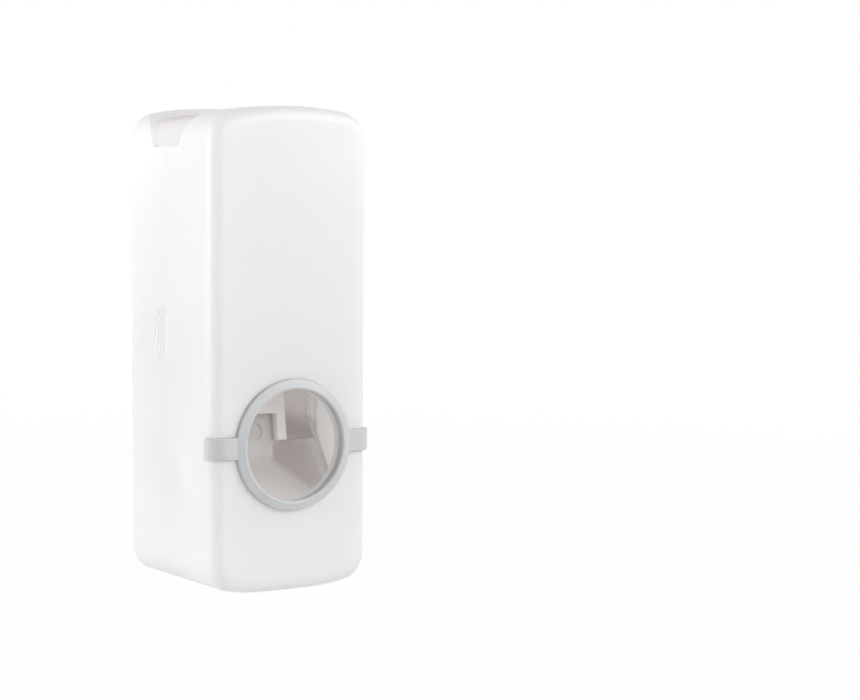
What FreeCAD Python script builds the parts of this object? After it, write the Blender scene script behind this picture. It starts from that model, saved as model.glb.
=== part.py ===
import FreeCAD, Part
import math
import os

# Toothpaste dispenser, in millimetres: +Z up, front towards -Y, origin at the middle of the underside.

# Case
case_width = 58.0
case_depth = 57.0
case_height = 155.0
case_wall = 2.0
corner_radius = 9.0
crown_radius = 126.0
belly_radius = 70.0
foot_width = 16.0
front_edge_radius = 4.7
back_edge_radius = 3.7
inner_edge_least = 0.5
seam_setback = 2.5
seam_gap = 0.03

# Lap joint between the two halves of the case
lip_length = 2.5
lip_thickness = 0.85
lip_clearance = 0.15

# Slot across the top, which lets the tube's flat tail stand out
slot_width = 17.2
slot_depth = 13.0
slot_flare = 6.6
slot_setback = 2.2
slot_corner_radius = 2.0
slot_rear_lean = 2.6
slot_rear_flare = 15.6
slot_shoulder_drop = 6.8
slot_shoulder_radius = 6.0

# Finger grips beside the seam
grip_height = 81.8
grip_radius = 9.4
grip_depth = 1.2
grip_rib_count = 5
grip_rib_width = 0.7
grip_rib_pitch = 1.6
grip_rib_height = 0.16

# Brush port and its trim ring
port_height = 47.4
ring_inner_radius = 17.8
ring_outer_radius = 21.1
ring_proud = 1.4
ring_crest = 1.3
ring_edge_radius = 0.45
ring_crest_radius = 0.7
arm_height = 7.0
arm_wrap = 3.6
arm_edge_radius = 0.4
trim_sink = 0.4
trim_side_gap = 0.35
trim_seat_gap = 0.05
port_rim_wall = 1.6
port_rim_reach = 0.8

# Screws and the bosses that take them
screw_radius = 1.25
screw_head_radius = 2.5
screw_head_height = 1.7
screw_drive_width = 0.8
screw_drive_depth = 0.8
screw_reach = 3.4
boss_radius = 3.1
boss_height = 4.5
boss_depth_spare = 0.5
screw_hole_clearance = 0.2
pilot_clearance = 0.03

# Brush bay
bay_gap = 0.4
bay_wall = 1.6
cheek_wall = 1.5
liner_wall = 2.6
cheek_top_rise = 22.0
cheek_front_setback = 0.5
knee_rise = 4.6
knee_slope_angle = 54.8
rim_front_drop = 2.1
rim_back_drop = 6.2
floor_back_drop = 12.8
floor_slope_angle = 13.2
floor_front_gap = 1.0
bay_back_rise = 10.0
bay_corner_radius = 1.6
bay_screw_inset = 6.5
bay_screw_rise = 3.0

# Pump frame
frame_gap = 0.3
frame_wall = 2.0
frame_low_rise = 13.0
shelf_rise = 40.6
shelf_wall = 2.5
backstop_wall = 1.6
backstop_width = 22.0
backstop_drop = 13.0
backstop_block_width = 12.0
backstop_block_height = 7.0
frame_screw_inset = 4.4
frame_screw_low_rise = 17.0
frame_screw_high_drop = 4.5
lug_wall = 2.0
lug_half_height = 4.0
stop_width = 8.0
stop_height = 4.0
stop_gap = 0.05
stop_neck = 2.2

# Pump bulb and what it joins
pump_forward = 5.0
bulb_radius = 9.0
bulb_wall = 1.4
bulb_height = 16.0
bulb_flange_width = 2.6
bulb_flange_wall = 1.6
bulb_neck_radius = 7.5
bulb_spout_radius = 3.6
bulb_spout_bore_radius = 2.4
bulb_spout_length = 13.0
spout_angle = 37.0
soft_gap = 0.3

# Collar that clamps the bulb
collar_ring_wall = 2.0
collar_rim = 1.0
collar_ear_radius = 3.2
collar_ear_gap = 2.8

# Tube seal and inlet valve
seal_bore_radius = 6.5
seal_bore_length = 8.0
seal_stem_inset = 1.0
seal_seat_height = 1.4
seal_throat_radius = 5.0
seal_flange_width = 2.8
seal_flange_wall = 1.8
seal_body_radius = 9.6
seal_mouth_radius = 8.6
seal_mouth_depth = 2.2
valve_plate_wall = 1.2
valve_port_radius = 1.2
valve_port_circle = 4.2
valve_port_count = 6
flap_radius = 6.0
flap_wall = 0.8
flap_stem_radius = 1.1
flap_bead_radius = 1.7
flap_bead_height = 0.9

# Outlet nozzle
nozzle_root_radius = 4.9
nozzle_tip_radius = 2.6
nozzle_bore_radius = 1.6
nozzle_cap_share = 0.6
nozzle_length = 7.0
nozzle_fit = 0.05
clamp_wall = 1.0
clamp_length = 2.0

# Push lever
brush_gap_width = 12.8
guide_width = 3.3
guide_depth = 4.0
lever_wall = 2.0
lever_lean = 7.6
lever_side_gap = 0.5
pad_recess = 9.4
pad_bottom_drop = 26.4
guide_bottom_drop = 21.0
hood_bottom_drop = 12.1
hood_top_drop = 3.4
hood_wall = 1.6
pad_dimple_radius = 2.8
pad_dimple_depth = 0.5
pad_dimple_drop = 17.8
hub_radius = 3.4
hub_width = 2.8
pivot_rise = 18.1
presser_wall = 2.0
presser_width = 15.0
presser_top_gap = 0.5
press_pad_radius = 5.0
press_pad_wall = 1.5
press_pad_margin = 0.2

# Lever pin and its push-on washers
pin_radius = 1.5
pin_running_clearance = 0.05
clip_radius = 3.2
clip_wall = 0.8
clip_gap = 0.1
pin_end_spare = 0.6

# Return spring
spring_radius = 2.6
wire_radius = 0.4
spring_turns = 8
spring_end_gap = 0.1
spring_cup_wall = 0.9
spring_cup_clearance = 0.3
spring_cup_depth = 1.2
spring_cup_base = 1.2
spring_post_clearance = 0.5
spring_post_length = 4.0

# Wall plate and its tape
plate_width = 38.0
plate_height = 44.0
plate_wall = 2.2
plate_corner_radius = 4.0
plate_middle_drop = 41.0
plate_clearance = 0.3
tape_wall = 1.0
tape_margin = 1.5
tape_proud = 0.3
hook_width = 8.0
hook_offset = 10.0
hook_stem = 2.4
hook_rise = 5.5
hook_wall = 1.8
hook_clearance = 0.2

# Small sizes that serve every cut and search
overrun = 1.0
fine = 0.001

# Planes and heights that the pieces share
half_width = case_width / 2
front_y = -case_depth / 2
back_y = case_depth / 2
seam_y = seam_setback
inner_front_y = front_y + case_wall
inner_back_y = back_y - case_wall
boss_face_y = inner_back_y - boss_height
bay_half = half_width - case_wall - bay_gap
bay_back_y = boss_face_y - bay_wall
cheek_inner = bay_half - cheek_wall
liner_inner = cheek_inner - liner_wall
bay_screw_offset = liner_inner - bay_screw_inset
frame_half = cheek_inner - frame_gap
frame_screw_offset = frame_half - frame_screw_inset
frame_plate_y = boss_face_y - frame_wall
shelf_height = port_height + shelf_rise
shelf_top = shelf_height + shelf_wall
port_rim_y = inner_front_y + port_rim_reach
pump_y = -pump_forward
bulb_flange_radius = bulb_radius + bulb_flange_width
collar_ring_radius = bulb_flange_radius + collar_rim
collar_ear_offset = collar_ring_radius + collar_ear_gap
seal_stem_radius = bulb_flange_radius - seal_stem_inset
seal_flange_radius = seal_stem_radius + seal_flange_width
lever_half = brush_gap_width / 2 + guide_width
lug_inner = lever_half + lever_side_gap
lug_outer = lug_inner + lug_wall
presser_face_y = pump_y + bulb_radius + soft_gap + press_pad_wall
pivot_y = presser_face_y + presser_wall / 2
pivot_z = port_height + pivot_rise
bulb_top = shelf_height
bulb_bottom = bulb_top - bulb_height
flange_low = bulb_top - bulb_flange_wall
collar_low = flange_low - collar_ring_wall
presser_top = collar_low - presser_top_gap
press_pad_z = presser_top - press_pad_margin - press_pad_radius
backstop_y = pump_y - collar_ring_radius - soft_gap
bulb_front_y = pump_y - bulb_radius - soft_gap
spring_cup_y = pivot_y - pad_recess - pad_dimple_drop * math.tan(math.radians(lever_lean)) + lever_wall
spring_start_y = spring_cup_y + spring_cup_base
spring_end_y = bay_back_y
spring_post_radius = spring_radius - wire_radius - spring_post_clearance
plate_back_y = back_y + tape_proud - tape_wall
plate_front_y = plate_back_y - plate_wall
pocket_y = plate_front_y - plate_clearance
pocket_inner_y = pocket_y - case_wall
plate_middle_height = case_height - plate_middle_drop
hook_stem_top = plate_middle_height
hook_stem_low = hook_stem_top - hook_stem
hook_tip = hook_stem_top + hook_rise
unhook_travel = hook_rise + 2 * hook_clearance


def vec(x, y, z):
    return FreeCAD.Vector(x, y, z)


def block(x0, x1, y0, y1, z0, z1):
    return Part.makeBox(x1 - x0, y1 - y0, z1 - z0, vec(x0, y0, z0))


def rod(radius, start, end):
    return Part.makeCylinder(radius, (end - start).Length, start, end - start)


def mirrored(shape):
    return shape.mirror(vec(0, 0, 0), vec(1, 0, 0))


def joined(shapes):
    return shapes[0].multiFuse(shapes[1:]).removeSplitter()


def side_plate(points, x0, x1):
    """A plate between x0 and x1 whose outline is given as (y, z) points."""
    corners = [vec(x0, y, z) for y, z in points]
    face = Part.Face(Part.makePolygon(corners + corners[:1]))
    return face.extrude(vec(x1 - x0, 0, 0))


def edges_at_y(shape, y):
    return [e for e in shape.Edges if abs(e.BoundBox.YMin - y) < fine and abs(e.BoundBox.YMax - y) < fine]


def spun(points, axis_y):
    """A solid of revolution about the upright line through (0, axis_y), from (radius, z) points."""
    corners = [vec(r, axis_y, z) for r, z in points]
    face = Part.Face(Part.makePolygon(corners + corners[:1]))
    return face.revolve(vec(0, axis_y, 0), vec(0, 0, 1), 360)


# Case outline seen from the front: an arched top, round corners, and an arched underside with a flat foot.
def case_outline(inset, y):
    corner_x = half_width - corner_radius
    crown_mid = case_height - crown_radius
    top_z = crown_mid + math.sqrt((crown_radius - corner_radius) ** 2 - corner_x ** 2)
    foot_x = foot_width / 2
    low_z = belly_radius - math.sqrt((belly_radius - corner_radius) ** 2 - (corner_x - foot_x) ** 2)
    top_angle = math.atan2(top_z - crown_mid, corner_x)
    low_angle = math.atan2(low_z - belly_radius, corner_x - foot_x)
    small = corner_radius - inset

    def spoke(x, z, radius, angle):
        return vec(x + radius * math.cos(angle), y, z + radius * math.sin(angle))

    def arc(x, z, radius, first, last):
        mid = (first + last) / 2
        ends = [spoke(x, z, radius, a) for a in (first, mid, last)]
        return Part.Arc(*ends).toShape()

    down = -math.pi / 2
    right = [
        arc(corner_x, top_z, small, top_angle, 0),
        Part.makeLine(vec(half_width - inset, y, top_z), vec(half_width - inset, y, low_z)),
        arc(corner_x, low_z, small, 0, low_angle),
        arc(foot_x, belly_radius, belly_radius - inset, low_angle, down),
    ]
    crown = arc(0, crown_mid, crown_radius - inset, math.pi - top_angle, top_angle)
    foot = Part.makeLine(vec(foot_x, y, inset), vec(-foot_x, y, inset))
    left = [mirrored(edge) for edge in right]
    return Part.Wire(Part.__sortEdges__([crown] + right + [foot] + left))


def case_slab(inset, y0, y1):
    return Part.Face(case_outline(inset, y0)).extrude(vec(0, y1 - y0, 0))


def case_block(inset, front_radius, back_radius):
    slab = case_slab(inset, front_y + inset, back_y - inset)
    slab = slab.makeFillet(front_radius, edges_at_y(slab, front_y + inset))
    return slab.makeFillet(back_radius, edges_at_y(slab, back_y - inset))


def top_slot():
    low = case_height - slot_depth
    high = case_height + overrun
    front = slot_setback - slot_width / 2
    rear = slot_setback + slot_width / 2
    shoulder = (rear + slot_rear_lean, case_height - slot_shoulder_drop)
    front_run = slot_flare * (slot_depth + overrun) / slot_depth
    rear_run = (slot_rear_flare - slot_rear_lean) * (slot_shoulder_drop + overrun) / slot_shoulder_drop
    rear_high = (shoulder[0] + rear_run, high)
    points = [(front, low), (rear, low), shoulder, rear_high, (front - front_run, high)]
    tool = side_plate(points, -half_width - overrun, half_width + overrun)
    for level, radius in ((shoulder[1], slot_shoulder_radius), (low, slot_corner_radius)):
        long_edges = [e for e in tool.Edges if e.BoundBox.XLength > case_width]
        tool = tool.makeFillet(radius, [e for e in long_edges if abs(e.BoundBox.ZMax - level) < fine])
    return tool


def case_halves():
    outer = case_block(0, front_edge_radius, back_edge_radius)
    inner_front = max(front_edge_radius - case_wall, inner_edge_least)
    inner_back = max(back_edge_radius - case_wall, inner_edge_least)
    inner = case_block(case_wall, inner_front, inner_back)
    shell = outer.cut(inner).cut(top_slot())
    wide = half_width + overrun
    tall = case_height + overrun
    front = shell.common(block(-wide, wide, front_y - overrun, seam_y - seam_gap, -overrun, tall))
    rear = shell.common(block(-wide, wide, seam_y, back_y + overrun, -overrun, tall))
    return front, rear


def grip_ball(raise_by):
    """The ball that scoops the finger grip out of the right side, less raise_by all round."""
    radius = (grip_radius ** 2 + grip_depth ** 2) / (2 * grip_depth)
    return Part.makeSphere(radius - raise_by, vec(half_width - grip_depth + radius, seam_y, grip_height))


def grip_ribs():
    skin = grip_ball(0).cut(grip_ball(grip_rib_height))
    ribs = []
    for number in range(grip_rib_count):
        middle = seam_y + grip_rib_pitch * (number + 1)
        slab = block(
            half_width - grip_depth - overrun, half_width,
            middle - grip_rib_width / 2, middle + grip_rib_width / 2,
            grip_height - grip_radius, grip_height + grip_radius)
        ribs.append(slab.common(skin))
    return ribs


def port_rod(radius, y0, y1):
    """A round bar along the port's axis."""
    return rod(radius, vec(0, y0, port_height), vec(0, y1, port_height))


def trim_arm(outer, inner, side_gap):
    """The right arm's band round the corner, between two insets of the case."""
    skin = case_block(outer, front_edge_radius - outer, back_edge_radius)
    skin = skin.cut(case_block(inner, front_edge_radius - inner, back_edge_radius))
    root = (ring_inner_radius + ring_outer_radius) / 2
    wide = half_width + overrun - outer
    near = front_y + outer - overrun
    half = arm_height / 2 + side_gap
    return skin.common(block(
        root, wide, near, front_y + arm_wrap + side_gap, port_height - half, port_height + half))


def front_cover(front):
    inset = case_wall - lip_thickness - lip_clearance
    rebate = case_slab(inset, seam_y - lip_length - lip_clearance, seam_y + overrun)
    rim = port_rod(ring_inner_radius + port_rim_wall, inner_front_y - case_wall / 2, port_rim_y)
    hole = port_rod(ring_inner_radius, front_y - overrun, port_rim_y + overrun)
    arm_bed = trim_arm(-overrun, trim_sink, trim_side_gap)
    ring_bed = port_rod(ring_outer_radius + trim_side_gap, front_y - overrun, front_y + trim_sink)
    cover = front.cut(rebate).fuse(rim).removeSplitter()
    return cover.cut(hole).cut(ring_bed).cut(arm_bed).cut(mirrored(arm_bed))


def screw_places():
    """Places (x, z) of the frame screws, then of the bay screws, on the boss faces."""
    low = port_height + frame_screw_low_rise
    high = shelf_height - frame_screw_high_drop
    frame = [(side * frame_screw_offset, z) for z in (low, high) for side in (-1, 1)]
    bay = [(side * bay_screw_offset, port_height + bay_screw_rise) for side in (-1, 1)]
    return frame, bay


def rear_housing(rear):
    ball = grip_ball(0)
    body = rear.cut(ball).cut(mirrored(ball))
    lip_front = seam_y - lip_length
    lip = case_slab(case_wall - lip_thickness, lip_front, seam_y + lip_length)
    lip = lip.cut(case_slab(case_wall, lip_front - overrun, seam_y + lip_length + overrun)).cut(top_slot())
    ribs = grip_ribs()
    frame_places, bay_places = screw_places()
    bosses = []
    pilots = []
    for x, z in frame_places + bay_places:
        bosses.append(rod(boss_radius, vec(x, boss_face_y, z), vec(x, inner_back_y + case_wall / 2, z)))
        pilot_end = boss_face_y + screw_reach + boss_depth_spare
        pilots.append(rod(screw_radius + pilot_clearance, vec(x, boss_face_y, z), vec(x, pilot_end, z)))
    pocket_half = plate_width / 2 + plate_clearance
    pocket_low = plate_middle_height - plate_height / 2 - unhook_travel - plate_clearance
    pocket_high = plate_middle_height + plate_height / 2 + plate_clearance
    tray = block(
        -pocket_half - case_wall, pocket_half + case_wall, pocket_inner_y, back_y - case_wall / 2,
        pocket_low - case_wall, pocket_high + case_wall)
    pocket = block(-pocket_half, pocket_half, pocket_y, back_y + overrun, pocket_low, pocket_high)
    upright = [e for e in pocket.Edges if e.BoundBox.YLength > overrun]
    pocket = pocket.makeFillet(plate_corner_radius, upright)
    slots = []
    for side in (-1, 1):
        middle = side * hook_offset
        half = hook_width / 2 + hook_clearance
        slots.append(block(
            middle - half, middle + half, pocket_inner_y - overrun, pocket_y + overrun,
            hook_stem_low - unhook_travel - hook_clearance, hook_stem_top + hook_clearance))
    body = joined([body, lip, tray] + ribs + [mirrored(rib) for rib in ribs] + bosses)
    return body.cut(pocket).cut(Part.makeCompound(pilots + slots))


def trim_ring():
    face_y = front_y - ring_proud
    crest_y = face_y - ring_crest
    seat = trim_sink - trim_seat_gap
    disc = port_rod(ring_outer_radius, face_y, front_y + seat)
    slope = Part.makeCone(
        ring_outer_radius, ring_inner_radius, ring_crest, vec(0, face_y, port_height), vec(0, -1, 0))
    disc = disc.fuse(slope).removeSplitter()
    disc = disc.cut(port_rod(ring_inner_radius, crest_y - overrun, front_y + seat + overrun))
    disc = disc.makeFillet(ring_edge_radius, edges_at_y(disc, face_y))
    disc = disc.makeFillet(ring_crest_radius, edges_at_y(disc, crest_y))
    arm = trim_arm(-ring_proud, seat, 0)
    outer_edges = []
    for edge in arm.Edges:
        box = edge.BoundBox
        level = box.ZLength < fine
        if level and (box.YMax < face_y + fine or box.XMax > half_width + ring_proud / 2):
            if box.XMin < half_width - fine:
                outer_edges.append(edge)
    arm = arm.makeFillet(arm_edge_radius, outer_edges)
    arm = arm.cut(port_rod(ring_inner_radius, crest_y, front_y + seat + overrun))
    return joined([disc, arm, mirrored(arm)])


def floor_z(y):
    return port_height - floor_back_drop + (y - bay_back_y) * math.tan(math.radians(floor_slope_angle))


def knee_z(y):
    """Height of the cheek's slanting front edge at y."""
    start_y = seam_y + cheek_front_setback
    return port_height + knee_rise + (y - start_y) * math.tan(math.radians(knee_slope_angle))


def brush_bay():
    cheek_y = seam_y + cheek_front_setback
    knee = math.tan(math.radians(knee_slope_angle))
    slope = math.tan(math.radians(floor_slope_angle))
    toe_y = (floor_z(0) - knee_z(0)) / (knee - slope)
    front = port_rim_y + floor_front_gap
    rim_front_z = port_height - rim_front_drop
    rim_front_y = cheek_y - (knee_z(cheek_y) - rim_front_z) / knee
    low_back = (boss_face_y, floor_z(boss_face_y) - bay_wall)
    low_toe = (toe_y, floor_z(toe_y) - bay_wall)
    toe = (toe_y, floor_z(toe_y))
    top = port_height + cheek_top_rise
    cheek = side_plate(
        [low_back, (boss_face_y, top), (cheek_y, top), (cheek_y, knee_z(cheek_y)), toe, low_toe],
        cheek_inner, bay_half)
    liner = side_plate(
        [low_back, (boss_face_y, port_height - rim_back_drop), (rim_front_y, rim_front_z), toe, low_toe],
        liner_inner, cheek_inner)
    lip = (front, floor_z(front))
    low_lip = (front, floor_z(front) - bay_wall)
    floor = side_plate([low_back, (boss_face_y, floor_z(boss_face_y)), lip, low_lip], -bay_half, bay_half)
    back = block(
        -bay_half, bay_half, bay_back_y, boss_face_y,
        floor_z(bay_back_y) - bay_wall / 2, port_height + bay_back_rise)
    post = rod(
        spring_post_radius, vec(0, bay_back_y - spring_post_length, port_height),
        vec(0, bay_back_y + bay_wall / 2, port_height))
    bay = joined([floor, back, cheek, mirrored(cheek), liner, mirrored(liner)])
    inside = []
    for edge in bay.Edges:
        box = edge.BoundBox
        at_back = abs(box.YMin - bay_back_y) < fine and abs(box.YMax - bay_back_y) < fine
        on_liner = abs(abs(box.XMin) - liner_inner) < fine and box.XLength < fine
        across = at_back and box.XLength > liner_inner and box.ZMax < floor_z(bay_back_y) + fine
        corner = at_back and on_liner and box.ZMax < port_height
        foot = on_liner and abs(box.ZMin - floor_z(toe_y)) < fine and box.YMax > bay_back_y - fine
        if across or corner or foot:
            inside.append(edge)
    bay = bay.makeFillet(bay_corner_radius, inside)
    holes = []
    for x, z in screw_places()[1]:
        start = vec(x, bay_back_y - overrun, z)
        holes.append(rod(screw_radius + screw_hole_clearance, start, vec(x, boss_face_y + overrun, z)))
    return bay.fuse(post).removeSplitter().cut(Part.makeCompound(holes))


def pump_frame():
    low = port_height + frame_low_rise
    plate = block(-frame_half, frame_half, frame_plate_y, boss_face_y, low, shelf_top)
    shelf_front = backstop_y - backstop_wall
    shelf = block(-frame_half, frame_half, shelf_front, boss_face_y, shelf_height, shelf_top)
    block_low = shelf_height - backstop_drop
    backstop = block(-backstop_width / 2, backstop_width / 2, shelf_front, backstop_y, block_low, shelf_top)
    rest = block(
        -backstop_block_width / 2, backstop_block_width / 2, backstop_y - backstop_wall / 2, bulb_front_y,
        block_low, block_low + backstop_block_height)
    pieces = [plate, shelf, backstop, rest] + lever_stop()
    for side in (-1, 1):
        near = min(side * lug_inner, side * lug_outer)
        far = max(side * lug_inner, side * lug_outer)
        pieces.append(block(
            near, far, pivot_y, boss_face_y, pivot_z - lug_half_height, pivot_z + lug_half_height))
        pieces.append(rod(lug_half_height, vec(near, pivot_y, pivot_z), vec(far, pivot_y, pivot_z)))
    frame = joined(pieces)
    pin_start = vec(-frame_half, pivot_y, pivot_z)
    cuts = [
        upright_hole(seal_stem_radius + soft_gap, 0, shelf_height, shelf_top),
        rod(pin_radius + pilot_clearance, pin_start, vec(frame_half, pivot_y, pivot_z)),
    ]
    for x, z in screw_places()[0]:
        start = vec(x, frame_plate_y - overrun, z)
        cuts.append(rod(screw_radius + screw_hole_clearance, start, vec(x, boss_face_y + overrun, z)))
    for side in (-1, 1):
        x = side * collar_ear_offset
        cuts.append(upright_hole(screw_radius + pilot_clearance, x, shelf_height, shelf_top))
    return frame.cut(Part.makeCompound(cuts))


def lever_stop():
    """The nose that the lever's upper arm comes to rest on, and its rib under the shelf."""
    half = stop_width / 2
    face = presser_face_y + presser_wall + stop_gap
    low = presser_top - stop_height
    return [
        block(-half, half, face, boss_face_y, low, presser_top),
        block(-half, half, face + stop_neck, boss_face_y, low, shelf_height + shelf_wall / 2),
    ]


def upright_hole(radius, x, low, high):
    """The tool for a hole at x beside the pump's axis, through everything from low to high."""
    return rod(radius, vec(x, pump_y, low - overrun), vec(x, pump_y, high + overrun))


def screw(face, along, grip):
    """A pan-head screw whose head sits on face and whose shank runs along for grip plus its reach."""
    head_end = face - along * screw_head_height
    head = rod(screw_head_radius, head_end, face)
    rims = [e for e in head.Edges if len(e.Vertexes) == 1]
    head = head.makeFillet(
        screw_head_height / 2, [e for e in rims if e.BoundBox.Center.distanceToPoint(head_end) < fine])
    shank = rod(screw_radius, face, face + along * (grip + screw_reach))
    across = vec(1, 0, 0)
    other = along.cross(across)
    drive = []
    for first, second in ((across, other), (other, across)):
        corner = head_end - first * screw_head_radius / 2 - second * screw_drive_width / 2
        slab = Part.makePolygon([
            corner, corner + first * screw_head_radius,
            corner + first * screw_head_radius + second * screw_drive_width,
            corner + second * screw_drive_width, corner])
        drive.append(Part.Face(slab).extrude(along * screw_drive_depth))
    return head.fuse(shank).removeSplitter().cut(drive[0]).cut(drive[1])


def frame_screws():
    faces = [vec(x, frame_plate_y, z) for x, z in screw_places()[0]]
    return Part.makeCompound([screw(face, vec(0, 1, 0), frame_wall) for face in faces])


def bay_screws():
    faces = [vec(x, bay_back_y, z) for x, z in screw_places()[1]]
    return Part.makeCompound([screw(face, vec(0, 1, 0), bay_wall) for face in faces])


def spout_frame(shape):
    """Carries a shape built along +Z from the origin onto the bulb's slanting spout."""
    turn = FreeCAD.Rotation(vec(1, 0, 0), 180 - spout_angle)
    start = vec(0, pump_y, bulb_bottom + bulb_radius / 2)
    return placed(shape, start, turn)


def placed(shape, start, turn):
    copy = shape.copy()
    copy.Placement = FreeCAD.Placement(start, turn)
    return copy


def pump_bulb():
    shoulder = flange_low - (bulb_radius - bulb_neck_radius)
    base = bulb_bottom + bulb_radius / 2
    outside = [
        (0, bulb_bottom), (bulb_radius / 2, bulb_bottom), (bulb_radius, base), (bulb_radius, shoulder),
        (bulb_neck_radius, flange_low), (bulb_flange_radius, flange_low),
        (bulb_flange_radius, bulb_top), (0, bulb_top)]
    inside_low = bulb_bottom + bulb_wall
    chamber = bulb_radius - bulb_wall
    throat = bulb_neck_radius - bulb_wall
    inside = [
        (0, inside_low), (bulb_radius / 2 - bulb_wall / 2, inside_low), (chamber, base + bulb_wall / 2),
        (chamber, shoulder), (throat, flange_low), (throat, bulb_top + overrun), (0, bulb_top + overrun)]
    spout = spout_frame(Part.makeCylinder(bulb_spout_radius, bulb_spout_length))
    bore = spout_frame(Part.makeCylinder(bulb_spout_bore_radius, bulb_spout_length + overrun))
    return spun(outside, pump_y).fuse(spout).removeSplitter().cut(spun(inside, pump_y)).cut(bore)


def bulb_collar():
    pieces = [rod(collar_ring_radius, vec(0, pump_y, collar_low), vec(0, pump_y, flange_low))]
    holes = [upright_hole(bulb_radius + soft_gap, 0, collar_low, flange_low)]
    for side in (-1, 1):
        x = side * collar_ear_offset
        pieces.append(rod(collar_ear_radius, vec(x, pump_y, collar_low), vec(x, pump_y, bulb_top)))
        holes.append(upright_hole(screw_radius + screw_hole_clearance, x, collar_low, bulb_top))
    seat_radius = bulb_flange_radius + pilot_clearance
    seat = rod(seat_radius, vec(0, pump_y, flange_low), vec(0, pump_y, bulb_top + overrun))
    return joined(pieces).cut(seat).cut(Part.makeCompound(holes))


def collar_screws():
    grip = shelf_top - collar_low - screw_reach
    faces = [vec(side * collar_ear_offset, pump_y, collar_low) for side in (-1, 1)]
    return Part.makeCompound([screw(face, vec(0, 0, 1), grip) for face in faces])


def tube_seal():
    low = shelf_height + valve_plate_wall
    flange_top = shelf_top + seal_flange_wall
    seat = low + seal_seat_height
    bore_top = seat + seal_bore_length
    top = bore_top + seal_mouth_depth
    return spun([
        (seal_bore_radius, seat), (seal_throat_radius, seat), (seal_throat_radius, low),
        (seal_stem_radius, low), (seal_stem_radius, shelf_top), (seal_flange_radius, shelf_top),
        (seal_flange_radius, flange_top), (seal_body_radius, flange_top), (seal_body_radius, top),
        (seal_mouth_radius, top), (seal_bore_radius, bore_top)], pump_y)


def valve_plate():
    top = shelf_height + valve_plate_wall
    plate = rod(seal_stem_radius, vec(0, pump_y, shelf_height), vec(0, pump_y, top))
    holes = [upright_hole(flap_stem_radius + pilot_clearance, 0, shelf_height, top)]
    for number in range(valve_port_count):
        angle = 2 * math.pi * number / valve_port_count
        x = valve_port_circle * math.cos(angle)
        y = pump_y + valve_port_circle * math.sin(angle)
        holes.append(rod(valve_port_radius, vec(x, y, shelf_height - overrun), vec(x, y, top + overrun)))
    return plate.cut(Part.makeCompound(holes))


def inlet_flap():
    low = shelf_height - flap_wall
    top = shelf_height + valve_plate_wall
    return spun([
        (0, low), (flap_radius, low), (flap_radius, shelf_height), (flap_stem_radius, shelf_height),
        (flap_stem_radius, top), (flap_bead_radius, top), (flap_stem_radius / 2, top + flap_bead_height),
        (0, top + flap_bead_height)], pump_y)


def nozzle_start():
    """Distance along the spout at which the nozzle's sleeve begins."""
    return bulb_spout_length - nozzle_length * nozzle_cap_share


def outlet_nozzle():
    sleeve = bulb_spout_length - nozzle_start()
    root = nozzle_start()
    tube = Part.makeCylinder(nozzle_root_radius, sleeve, vec(0, 0, root))
    taper = nozzle_length - sleeve
    tip = Part.makeCone(nozzle_root_radius, nozzle_tip_radius, taper, vec(0, 0, root + sleeve))
    socket = Part.makeCylinder(bulb_spout_radius + nozzle_fit, sleeve, vec(0, 0, root))
    bore = Part.makeCylinder(nozzle_bore_radius, nozzle_length + overrun, vec(0, 0, root))
    return spout_frame(tube.fuse(tip).removeSplitter().cut(socket).cut(bore))


def nozzle_clamp():
    start = nozzle_start() + clamp_length / 2
    outer = Part.makeCylinder(nozzle_root_radius + clamp_wall, clamp_length, vec(0, 0, start))
    inner = Part.makeCylinder(nozzle_root_radius + nozzle_fit, clamp_length, vec(0, 0, start))
    return spout_frame(outer.cut(inner))


def lever_plate(y0, y1, drop_low, drop_high, x0, x1):
    """A block of the leaning lower arm: y from the pivot, heights as drops below it."""
    piece = block(x0, x1, y0, y1, -drop_low, -drop_high)
    return placed(piece, vec(0, pivot_y, pivot_z), FreeCAD.Rotation(vec(1, 0, 0), -lever_lean))


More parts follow.
